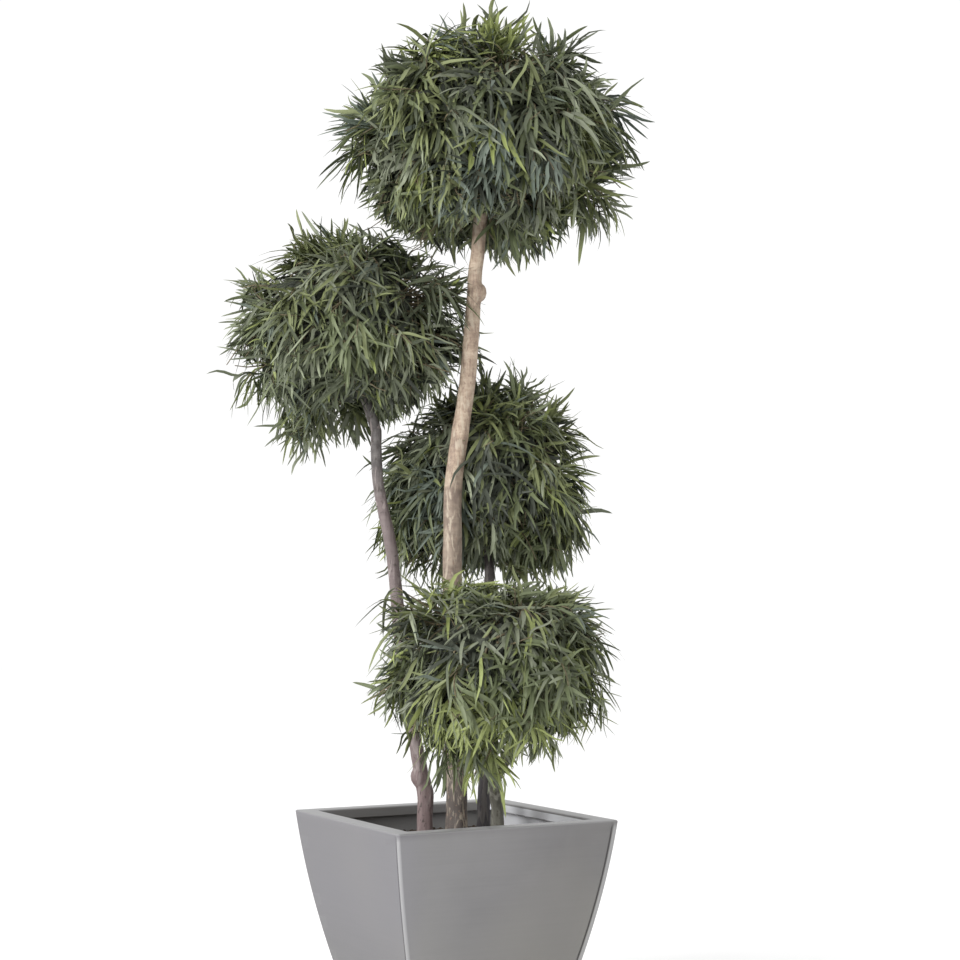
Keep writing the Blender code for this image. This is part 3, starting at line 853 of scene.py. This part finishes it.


# Tone by patches, furrows and rings, then the foot's colour lower down (on the trunk and front stem partly
# painted shade from the heads above), the foot, scars, specks and peeled places
def barkMaterial(title, colours):
    made = barkSet
    material, board, shader = startMaterial(title, colours["middle"], made["roughness"])
    furrow, peeled, patch, rings, speck = patterns(board, made, "furrow", "peeled", "patch", "rings", "speck")
    stops = [(share, colours[name]) for name, share in made["toneStops"].items()]
    bark = colourRamp(board, patch * 0.50 + furrow * 0.28 + rings * 0.22, stops)
    whole = patternPlace(board, (1, 1, 1))
    height = board.add("ShaderNodeSeparateXYZ", {0: whole}, out="Z")
    uneven = height + (patch - 0.5) * made["lowBarkAndShadeRagged"]
    ragged = height + (furrow - 0.5) * made["footRagged"]
    masks = [
        # Foot colour mixed in lower down, partly painted shade from the heads above
        ("foot", ranged(board, uneven, *made["lowBarkAndShadeBand"], made["lowBarkAndShade"], 0.0)),
        ("foot", ranged(board, ragged, *made["footBand"], 1.0, 0.0)),
    ]
    for x, y, z, size in colours["scars"]:
        ends = {0: whole, 1: (x, y, z)}
        away = board.add("ShaderNodeVectorMath", ends, out="Value", operation="DISTANCE")
        masks.append(("speck", ranged(board, away, size, size * made["scarHeart"], 0.0, made["scarPart"])))
    masks.append(("speck", ranged(board, speck, *made["speckBand"], 0.0, made["speckPart"])))
    masks.append(("peeled", ranged(board, peeled, *made["peeledBand"], 0.0, made["peeledPart"])))
    for name, mask in masks:
        bark = blend(board, mask, bark, colours[name])
    plug(board, bark, shader, "Base Color")
    vary = made["roughVary"]
    plug(board, made["roughness"] - vary / 2 + furrow * vary, shader, "Roughness")
    bump(board, shader, furrow * 0.6 + peeled * 0.25 + speck * 0.15, *made["bump"])
    return material


def lumpiness(board, seed, place, sizes, scale, detail):
    drawn = board.add("ShaderNodeVectorMath", {0: place, 1: sizes}, operation="MULTIPLY")
    sockets = {"Vector": drawn, "W": seed, "Scale": scale, "Detail": detail}
    return board.add("ShaderNodeTexNoise", sockets, noise_dimensions="4D")


def barkTree(material):
    board, given = geometryTree("bark", {
        "Sides": ("Int", barkSet["sides"]),
        "Ridge Depth": ("Float", barkSet["ridgeDepth"]),
        "Lump Depth": ("Float", barkSet["lumpDepth"]),
        "Seed": ("Float", 0.0),
    })
    tube = tubeAlong(board, given)
    place = board.add("GeometryNodeInputPosition")
    ridges = lumpiness(board, given["Seed"], place, *barkSet["ridges"])
    lumps = lumpiness(board, given["Seed"], place, *barkSet["lumps"])
    height = board.add("ShaderNodeSeparateXYZ", {0: place}, out="Z")
    low = ranged(board, height, *barkSet["footBand"], barkSet["footRelief"], 0.0)
    rise = (ridges - 0.5) * given["Ridge Depth"] * 2 + (lumps - 0.5) * given["Lump Depth"] * 2
    outward = scaled(board, board.add("GeometryNodeInputNormal"), rise * (low + 1.0))
    relief = board.add("GeometryNodeSetPosition", {"Geometry": tube, "Offset": outward})
    endRealized(board, board.add("GeometryNodeSetShadeSmooth", {"Geometry": relief}), material)
    return board


# Bark colours by limb. The left stem's colours are darker partly as painted shade from the left head above,
# and the trunk's and front stem's foot colours are dark partly as painted shade from the heads above. scars:
# place and size
barks = {
    "trunk": {
        "shade": (0.20, 0.143, 0.107), "middle": (0.312, 0.236, 0.174), "light": (0.44, 0.354, 0.268),
        "speck": (0.20, 0.135, 0.10), "foot": (0.088, 0.072, 0.063), "peeled": (0.42, 0.36, 0.28),
        "scars": [],
    },
    "left_stem": {
        "shade": (0.046, 0.040, 0.039), "middle": (0.080, 0.072, 0.069), "light": (0.128, 0.117, 0.111),
        "speck": (0.04, 0.03, 0.025), "foot": (0.178, 0.129, 0.126), "peeled": (0.26, 0.22, 0.21),
        "scars": [(-0.1615, 0.108, 1.3216, 0.011), (-0.121, 0.092, 1.02, 0.008)],
    },
    "back_stem": {
        "shade": (0.05, 0.040, 0.038), "middle": (0.09, 0.072, 0.068), "light": (0.15, 0.125, 0.115),
        "speck": (0.03, 0.02, 0.02), "foot": (0.045, 0.040, 0.043), "peeled": (0.12, 0.11, 0.10),
        "scars": [],
    },
    "front_stem": {
        "shade": (0.13, 0.120, 0.095), "middle": (0.22, 0.205, 0.165), "light": (0.34, 0.32, 0.27),
        "speck": (0.06, 0.05, 0.04), "foot": (0.115, 0.111, 0.090), "peeled": (0.30, 0.29, 0.25),
        "scars": [],
    },
}


def makeLimb(name):
    limb = limbs[name]
    line, radii = limbLine(limb)
    board = barkTree(barkMaterial(name + " bark", barks[name]))
    seed = float(barkSet["seed"] + list(limbs).index(name))
    piece = runTree(edgeMesh([line], radii), board, name + "_bark", {"Seed": seed})
    finishPiece(piece, "tan_bark" if name == "trunk" else "grey_bark", name)


for limbName in limbs:
    makeLimb(limbName)
print("trunk and stems are made")


# Twigs and leaves. Shares are of the way from a head's middle to its outline
shootSet = {
    "boughs": 24,
    "boughShare": 0.56,
    "boughThick": (0.0075, 0.0040),
    "boughPull": 0.3,
    "heartShare": 0.6,
    "rootShares": (0.42, 0.58),
    "tipDepths": (0.045, 0.130),
    "innerDepths": (0.090, 0.130),
    "innerPart": 0.32,
    "wander": 0.16,
    "clumpWander": 0.30,
    "clumpPull": 0.60,
    "clumpLean": 0.45,
    "clumpReach": (0.82, 1.06),
    "reachPower": 0.7,
    "shootReach": (0.95, 1.03),
    "innerReach": 0.86,
    "clumpTone": 0.62,
    "lobes": (16, -0.05, 0.05, 20),
    "hollows": (16, -0.20, -0.10, 9),
    "drawnOut": 2.5,
    "sunkShare": 0.94,
    "sunkPart": 0.38,
    "patchPart": 0.88,
    "bow": 0.030,
    "sag": 0.24,
    "steepSag": 0.7,
    "points": 6,
    "thick": (0.0032, 0.0012),
    "twigSides": 4,
    "strayNudge": 0.12,
    "strayReach": (0.4, 1.0),
    "dark": (0.07, 0.055, 0.03),
    "light": (0.16, 0.13, 0.07),
    "roughness": 0.75,
    "grain": ((1, 1, 1), 90.0, 3.0, 0.6, 0.0),
    "toneBand": (0.35, 0.70),
}
leafSet = {
    "perShoot": 13,
    "firstPlace": 0.30,
    "placeNudge": 0.04,
    "goldenTurn": math.radians(137.5),
    "turnNudge": 0.3,
    "vary": (0.8, 1.2),
    "longest": 0.155,
    "shortest": 0.085,
    "least": 0.045,
    "overReach": 0.02,
    "trims": 4,
    "trim": 0.93,
    "width": (0.0095, 0.0150),
    "bend": (0.05, 0.85),
    "swing": 0.38,
    "wave": 0.035,
    "outward": (0.45, 1.0),
    "sideways": (0.62, 0.38),
    "scatter": 0.32,
    "faceScatter": 0.55,
    "faceUp": 0.45,
    "droop": (0.05, 0.85),
    "tipShares": (0.90, 1.08),
    "hiddenShare": 0.68,
    "fringeShare": 0.91,
    "fringe": 0.55,
    "clearOfLimb": 0.006,
    "clearOfHead": 0.005,
    "clearOfPot": 0.012,
    "limbRows": 3,
    "checkedAt": (0.3, 0.65, 1.0),
    "otherTone": 0.20,
    "fold": 0.16,
    "rows": [(0.06, 0.38), (0.20, 0.74), (0.38, 0.97), (0.57, 1.0), (0.76, 0.80), (0.92, 0.46)],
}

# Leaf colours, in the order that the heads' tone weights have. The last and darkest is only painted shade,
# for leaves in hollows; the first is a real leaf colour and also painted shade in dark patches
leafTones = {
    "deep": ((0.072, 0.085, 0.048), 0.62),
    "mid": ((0.100, 0.120, 0.056), 0.60),
    "olive": ((0.140, 0.160, 0.066), 0.60),
    "greyish": ((0.140, 0.155, 0.105), 0.60),
    "pale": ((0.205, 0.228, 0.150), 0.60),
    "fresh": ((0.195, 0.228, 0.072), 0.58),
    "bluish": ((0.095, 0.118, 0.092), 0.62),
    "dusky": ((0.031, 0.037, 0.024), 0.65),
}


def unit(vectors):
    return vectors / np.linalg.norm(vectors, axis=-1, keepdims=True)


def outlineShare(head, points):
    offset = points - np.array(head["centre"])
    power = head["boxiness"]
    level = np.linalg.norm(offset[..., :2], axis=-1) / head["spread"]
    rise = np.abs(offset[..., 2]) / np.where(offset[..., 2] > 0, head["up"], head["down"])
    return (level**power + rise**power) ** (1 / power)


def atShare(head, directions, share):
    middle = np.array(head["centre"])
    return middle + directions * (share / outlineShare(head, middle + directions))[..., None]


def spiralDirections(count):
    i = np.arange(count)
    turn = math.pi * (3 - math.sqrt(5)) * i
    rise = 1 - (2 * i + 1) / count
    level = np.sqrt(1 - rise**2)
    return np.stack([np.cos(turn) * level, np.sin(turn) * level, rise], axis=-1)


# Two directions square to each vector
def squareTo(vectors):
    helper = np.where(np.abs(vectors[..., 2:]) < 0.9, (0.0, 0.0, 1.0), (1.0, 0.0, 0.0))
    first = unit(np.cross(vectors, helper))
    return first, np.cross(vectors, first)


# The limbs as rows of points with radii, for keeping leaves clear of them
def limbPoints():
    rows = []
    for limb in limbs.values():
        tip = tipOf(limb).z
        checked = list(zip(*limbLine(limb)))[::leafSet["limbRows"]]
        rows += [(*point, radius) for point, radius in checked if point.z < tip]
    return np.array(rows)


limbCloud = limbPoints()


def isFree(name, points):
    own = outlineShare(heads[name], points)
    free = np.ones(len(points), bool)
    for other, size in heads.items():
        if other != name:
            free &= outlineShare(size, points) > np.minimum(own, 1) + leafSet["clearOfHead"]
    free &= points[:, 2] > soilTop + leafSet["clearOfPot"]
    inside = planterSize["side"] / 2 - planterSize["rimWidth"] - leafSet["clearOfPot"]
    beside = np.abs(points[:, :2]).max(axis=1) > inside
    free &= ~(beside & (points[:, 2] < planterSize["height"] + leafSet["clearOfPot"]))
    gaps = np.linalg.norm(points[:, None] - limbCloud[None, :, :3], axis=-1) - limbCloud[:, 3]
    return free & (gaps.min(axis=1) > leafSet["clearOfLimb"])


# How far the outline swells or draws in towards each direction, drawn out along the view
def swellAt(directions, places):
    view = np.array(bearingDirection(cameraSet["bearing"] - 90, 0))
    swell = np.ones(len(directions))
    for middle, by, halfWidth in places:
        apart = directions - middle
        away = (apart**2).sum(axis=1) - (apart @ view) ** 2 * (1 - 1 / shootSet["drawnOut"] ** 2)
        swell += by * np.exp(-away / math.radians(halfWidth) ** 2)
    return swell


class Shoots:
    def __init__(self, name):
        self.name = name
        self.head = heads[name]
        self.rng = np.random.default_rng(self.head["seed"])
        self.boughEnds = spiralDirections(shootSet["boughs"])
        self.aim()
        self.drawLines()
        self.dealTones()

    # Directions on a spiral, drawn together into clumps, and the stray shoots after them
    def aim(self):
        count, rng, made = self.head["shoots"], self.rng, shootSet
        clumps = spiralDirections(self.head["clumps"])
        clumps = unit(clumps + rng.uniform(-1, 1, clumps.shape) * made["clumpWander"])
        aimed = unit(spiralDirections(count) + rng.uniform(-1, 1, (count, 3)) * made["wander"])
        nearest = (aimed @ clumps.T).argmax(axis=1)
        self.inner = rng.random(count) < made["innerPart"]
        pull = np.where(self.inner, 0.0, made["clumpPull"])[:, None]
        directions = [unit(aimed * (1 - pull) + clumps[nearest] * pull)]
        low, high = made["clumpReach"]
        reach = [(low + (high - low) * rng.random(len(clumps)) ** made["reachPower"])[nearest]]
        lobes = self.places(self.head["lobes"], made["lobes"])
        hollows = self.places(self.head["hollows"], made["hollows"])
        self.uneven = lobes + hollows
        self.hollow = swellAt(directions[0], hollows)
        reach[0] = reach[0] * rng.uniform(*made["shootReach"], count)
        reach[0] = np.where(self.inner, made["innerReach"], reach[0])
        self.clumpOf = nearest
        lean = [(rng.normal(0, 1, clumps.shape) * made["clumpLean"])[nearest]]
        for bearing, rise, far, size in self.head["stray"]:
            bunch = np.array(bearingDirection(bearing, rise))
            directions.append(unit(bunch + rng.uniform(-1, 1, (size, 3)) * made["strayNudge"]))
            reach.append(rng.uniform(*made["strayReach"], size) * (far - 1) + 1)
            lean.append(np.zeros((size, 3)))
        self.directions = np.concatenate(directions)
        self.reach = np.concatenate(reach)
        self.lean = np.concatenate(lean)
        self.stray = np.arange(len(self.directions)) >= count
        self.swell = np.where(self.stray, 1, swellAt(self.directions, self.uneven))

    # Known places where the outline swells or draws in, and drawn ones after them
    def places(self, known, drawn):
        count, least, most, halfWidth = drawn
        found = [(np.array(bearingDirection(bearing, rise)), by, wide) for bearing, rise, by, wide in known]
        for _ in range(count):
            found.append((unit(self.rng.normal(0, 1, 3)), self.rng.uniform(least, most), halfWidth))
        return found

    def drawLines(self):
        rng, made, count = self.rng, shootSet, len(self.directions)
        nearest = (self.directions @ self.boughEnds.T).argmax(axis=1)
        pull = made["boughPull"]
        spread = unit(self.directions * (1 - pull) + self.boughEnds[nearest] * pull)
        root = atShare(self.head, spread, rng.uniform(*made["rootShares"], count))
        inner = np.append(self.inner, np.zeros(count - len(self.inner), bool))
        depth = rng.uniform(*made["tipDepths"], count)
        depth[inner] = rng.uniform(*made["innerDepths"], inner.sum())
        far = (1 - depth / self.head["spread"]) * np.where(inner, 1, self.reach) * self.swell
        run = atShare(self.head, self.directions, far) - root
        length = np.linalg.norm(run, axis=1, keepdims=True)
        first, second = squareTo(run / length)
        turn = rng.uniform(0, 2 * math.pi, (count, 1))
        bow = (first * np.cos(turn) + second * np.sin(turn)) * made["bow"]
        t = np.linspace(0, 1, made["points"])[None, :, None]
        level = 1 - np.abs(self.directions[:, 2:]) * made["steepSag"]
        sag = np.array((0, 0, -1.0)) * made["sag"] * length * level
        self.lines = (
            root[:, None] + run[:, None] * t + bow[:, None] * 4 * t * (1 - t) + sag[:, None] * t**2
        )

    def placeAt(self, t):
        spot = np.clip(t, 0, 1) * (shootSet["points"] - 1)
        low = np.minimum(spot.astype(int), shootSet["points"] - 2)
        rows = np.arange(len(self.lines))[:, None]
        start, end = self.lines[rows, low], self.lines[rows, low + 1]
        return start + (end - start) * (spot - low)[..., None], unit(end - start)

    # Most shoots of a clump share one colour, and patches of a head lean to one, the darkest patches as
    # painted shade; many shoots sunk in hollows get the darkest colour, as painted shade
    def dealTones(self):
        names = list(leafTones)
        weights = np.array(self.head["tones"]) / sum(self.head["tones"])
        self.weights = weights
        self.tones = self.rng.choice(len(names), len(self.directions), p=weights)
        shared = self.rng.choice(len(names), self.head["clumps"], p=weights)[self.clumpOf]
        alike = np.flatnonzero(self.rng.random(len(shared)) < shootSet["clumpTone"])
        self.tones[alike] = shared[alike]
        for bearing, rise, halfWidth, tone in self.head["patches"]:
            middle = np.array(bearingDirection(bearing, rise))
            near = self.directions @ middle > math.cos(math.radians(halfWidth))
            near &= self.rng.random(len(near)) < shootSet["patchPart"]
            self.tones[near] = names.index(tone)
        # Painted shade: shoots sunk in hollows get the darkest leaf colour
        sunk = self.hollow < shootSet["sunkShare"]
        sunk &= self.rng.random(len(sunk)) < shootSet["sunkPart"]
        self.tones[np.flatnonzero(sunk)] = names.index("dusky")


# Leaves round every shoot, flatter and further out towards its end, most with the shoot's tone
def growLeaves(shoots):
    made, rng, head = leafSet, shoots.rng, shoots.head
    count, each = len(shoots.lines), made["perShoot"]
    nudge, twist = made["placeNudge"], made["turnNudge"]
    places = np.linspace(made["firstPlace"], 1, each)[None] + rng.uniform(-nudge, nudge, (count, each))
    foot, along = shoots.placeAt(places)
    first, second = squareTo(along)
    turn = rng.uniform(0, 2 * math.pi, (count, 1)) + made["goldenTurn"] * np.arange(each)[None]
    turn = (turn + rng.uniform(-twist, twist, (count, each)))[..., None]
    side = first * np.cos(turn) + second * np.sin(turn)
    late = (places**2)[..., None]
    outward, sideways = (low + (high - low) * late for low, high in (made["outward"], made["sideways"]))
    radial = shoots.directions[:, None]
    down = np.array((0, 0, -1.0)) + radial * radial[..., 2:]
    droop = rng.uniform(*made["droop"], (count, each, 1))
    vary = rng.uniform(*made["vary"], (2, count, each, 1))
    lean = shoots.lean[:, None] + rng.normal(0, made["scatter"], along.shape)
    axis = unit(along * outward * vary[0] + side * sideways * vary[1] + down * droop + lean)
    length = rng.uniform(made["shortest"], made["longest"], (count, each)) * head["leafSize"]
    reach = rng.uniform(*made["tipShares"], (count, each)) * shoots.reach[:, None]
    tones = np.repeat(shoots.tones[:, None], each, axis=1)
    other = rng.random((count, each)) < made["otherTone"]
    tones[other] = rng.choice(len(leafTones), other.sum(), p=shoots.weights)
    flat = {
        "foot": foot.reshape(-1, 3),
        "axis": axis.reshape(-1, 3),
        "length": length.ravel(),
        "reach": reach.ravel(),
        "tone": tones.ravel(),
        "outward": np.repeat(radial, each, axis=1).reshape(-1, 3),
        "stray": np.repeat(shoots.stray, each),
    }
    return trimLeaves(shoots, flat)


# Shortens leaves that pass the outline and drops those that are hidden or touch something
def trimLeaves(shoots, flat):
    made, rng, head = leafSet, shoots.rng, shoots.head
    axis, foot, length = flat["axis"], flat["foot"], flat["length"]
    total = len(length)
    fall = np.array((0, 0, -1.0)) + axis * axis[:, 2:]
    first, second = squareTo(axis)
    swing = rng.uniform(-1, 1, (total, 1)) * made["swing"]
    bend = fall * rng.uniform(*made["bend"], (total, 1)) + first * swing

    # Share of the uneven outline, the plain one for stray leaves
    def shareOf(point):
        swell = swellAt(unit(point - np.array(head["centre"])), shoots.uneven)
        return outlineShare(head, point) / np.where(flat["stray"], 1, swell)

    for _ in range(made["trims"]):
        tip = foot + (axis + bend) * length[:, None]
        length = np.where(shareOf(tip) > flat["reach"], length * made["trim"], length)
    out = shareOf(foot + (axis + bend) * length[:, None])
    keep = (length > made["least"]) & (out > made["hiddenShare"])
    keep &= (out < made["fringeShare"]) | (rng.random(total) < made["fringe"]) | flat["stray"]
    for t in made["checkedAt"]:
        point = foot + (axis * t + bend * t**2) * length[:, None]
        keep &= (shareOf(point) < flat["reach"] + made["overReach"]) & isFree(shoots.name, point)
    wave = first * rng.normal(0, made["wave"], (total, 1)) + second * rng.normal(0, made["wave"], (total, 1))
    face = flat["outward"] + np.array((0, 0, made["faceUp"])) + rng.normal(0, made["faceScatter"], (total, 3))
    width = rng.uniform(*made["width"], total) * (length / made["longest"]) ** 0.5
    width = width * head["leafSize"] ** 0.5
    grown = {
        "foot": foot,
        "axis": axis,
        "face": unit(face - axis * (face * axis).sum(axis=1, keepdims=True)),
        "bend": bend * length[:, None],
        "wave": wave * length[:, None],
        "size": np.stack([width, width, length], axis=1),
        "tone": flat["tone"],
    }
    return {name: values[keep] for name, values in grown.items()}


# One narrow leaf, one unit long and wide, folded a little along its midrib
def leafMesh():
    shape = bmesh.new()
    first = shape.verts.new((0, 0, 0))
    rows = []
    for place, width in leafSet["rows"]:
        lift = leafSet["fold"] * width
        rows.append([
            shape.verts.new((-width / 2, lift, place)),
            shape.verts.new((0, 0, place)),
            shape.verts.new((width / 2, lift, place)),
        ])
    last = shape.verts.new((0, 0, 1))
    for k in (0, 1):
        shape.faces.new((first, rows[0][k], rows[0][k + 1]))
        for low, high in zip(rows, rows[1:]):
            shape.faces.new((low[k], high[k], high[k + 1], low[k + 1]))
        shape.faces.new((rows[-1][k], last, rows[-1][k + 1]))
    mesh = meshOf(shape, "leaf")
    addLayer(mesh, "part", [vertex.co.z for vertex in mesh.vertices])
    return mesh


# The vectors that the leaf tree reads at each leaf's foot
leafVectors = ("axis", "face", "bend", "wave", "size")


# Puts the leaf on every point, bends and ripples it along its length and gives it its tone's material
def leafTree(leaf, materials):
    board, given = geometryTree("leaves", {
        "Leaf": ("Object", leaf),
        "Length": ("Float", 1.0),
        "Droop": ("Float", 1.0),
    })
    shown = board.add("GeometryNodeObjectInfo", {"Object": given["Leaf"]}, out="Geometry")
    axis, face, bend, wave, size = (attribute(board, name, "FLOAT_VECTOR") for name in leafVectors)
    turned = board.add("FunctionNodeAlignRotationToVector", {"Vector": axis}, axis="Z")
    sockets = {"Rotation": turned, "Vector": face}
    faced = board.add("FunctionNodeAlignRotationToVector", sockets, axis="Y", pivot_axis="Z")
    sockets = {
        "Points": board.add("GeometryNodeMeshToPoints", {"Mesh": given["Geometry"]}),
        "Instance": shown,
        "Rotation": faced,
        "Scale": scaled(board, size, given["Length"]),
    }
    placed = board.add("GeometryNodeInstanceOnPoints", sockets)
    real = board.add("GeometryNodeRealizeInstances", {"Geometry": placed})
    part = attribute(board, "part")
    bend = scaled(board, bend, part * part * given["Droop"])
    ripple = board.add("ShaderNodeMath", {0: part * (math.pi * 2)}, operation="SINE")
    wave = scaled(board, wave, ripple)
    moved = board.add("ShaderNodeVectorMath", {0: bend, 1: wave}, operation="ADD")
    result = board.add("GeometryNodeSetPosition", {"Geometry": real, "Offset": moved})
    result = board.add("GeometryNodeSetShadeSmooth", {"Geometry": result})
    tone = attribute(board, "tone")
    for i, material in enumerate(materials):
        sockets = {0: tone, 1: float(i), 12: 0.1}
        chosen = board.add("FunctionNodeCompare", sockets, data_type="FLOAT", operation="EQUAL")
        sockets = {"Geometry": result, "Selection": chosen, "Material": material}
        result = board.add("GeometryNodeSetMaterial", sockets)
    endTree(board, result)
    return board


def pointMesh(leaves):
    mesh = bpy.data.meshes.new("points")
    mesh.from_pydata([tuple(point) for point in leaves["foot"]], [], [])
    for name in (*leafVectors, "tone"):
        addLayer(mesh, name, leaves[name])
    return mesh


def twigTree(material):
    board, given = geometryTree("twigs", {"Sides": ("Int", shootSet["twigSides"])})
    endRealized(board, tubeAlong(board, given), material)
    return board


# Boughs run from the limb's end through the head's middle, and a twig leaves one of them
def twigLines(shoots):
    head = shoots.head
    limb = next(limb for limb in limbs.values() if limb["head"] == shoots.name)
    start = tipOf(limb)
    heart = start.lerp(Vector(head["centre"]), shootSet["heartShare"])
    lines, radii = [], []
    for direction in shoots.boughEnds:
        end = atShare(head, direction, shootSet["boughShare"])
        bough = [start, heart, heart.lerp(Vector(end), 0.5), Vector(end)]
        lines.append(bough)
        radii += list(np.linspace(*shootSet["boughThick"], len(bough)))
    for line in shoots.lines:
        lines.append([Vector(point) for point in line])
        radii += list(np.linspace(*shootSet["thick"], len(line)))
    return lines, radii


# Colours of the mass inside each head, dark partly as painted shade of the gaps between the leaves
insideSet = {
    "share": 0.56,
    "uneven": 0.05,
    "subdivisions": 5,
    "dark": (0.030, 0.034, 0.026),
    "light": (0.075, 0.083, 0.055),
    "roughness": 0.9,
    "grain": ((1, 1, 1), 60.0, 5.0, 0.7, 0.0),
    "toneBand": (0.40, 0.75),
}


# The tight mass of twigs and moss inside a head, seen only in the gaps between the leaves, its dark colour
# partly painted shade of those gaps
def makeInside(name, material):
    head = heads[name]
    rng = np.random.default_rng(head["seed"])
    shape = bmesh.new()
    bmesh.ops.create_icosphere(shape, subdivisions=insideSet["subdivisions"], radius=1)
    directions = unit(np.array([vertex.co for vertex in shape.verts]))
    share = insideSet["share"] + rng.uniform(-1, 1, len(directions)) * insideSet["uneven"]
    for vertex, place in zip(shape.verts, atShare(head, directions, share)):
        vertex.co = place
    piece = newObject(name + "_inside", meshOf(shape, name + "_inside"))
    piece.data.materials.append(material)
    finishPiece(piece, "foliage", name)


def makeHeads():
    materials = []
    for name, (colour, roughness) in leafTones.items():
        materials.append(startMaterial(name + " leaf", colour, roughness)[0])
    leaf = newObject("leaf pattern", leafMesh())
    leaves = leafTree(leaf, materials)
    twigs = twigTree(grainedMaterial("twig bark", shootSet))
    inside = grainedMaterial("shaded inner twigs", insideSet)
    for name in heads:
        shoots = Shoots(name)
        grown = growLeaves(shoots)
        piece = runTree(pointMesh(grown), leaves, name + "_leaves", {"Leaf": leaf})
        finishPiece(piece, "foliage", name)
        piece = runTree(edgeMesh(*twigLines(shoots)), twigs, name + "_twigs", {})
        finishPiece(piece, "foliage", name)
        makeInside(name, inside)
        print(name, "has", len(grown["tone"]), "leaves")
    bpy.data.objects.remove(leaf)


makeHeads()
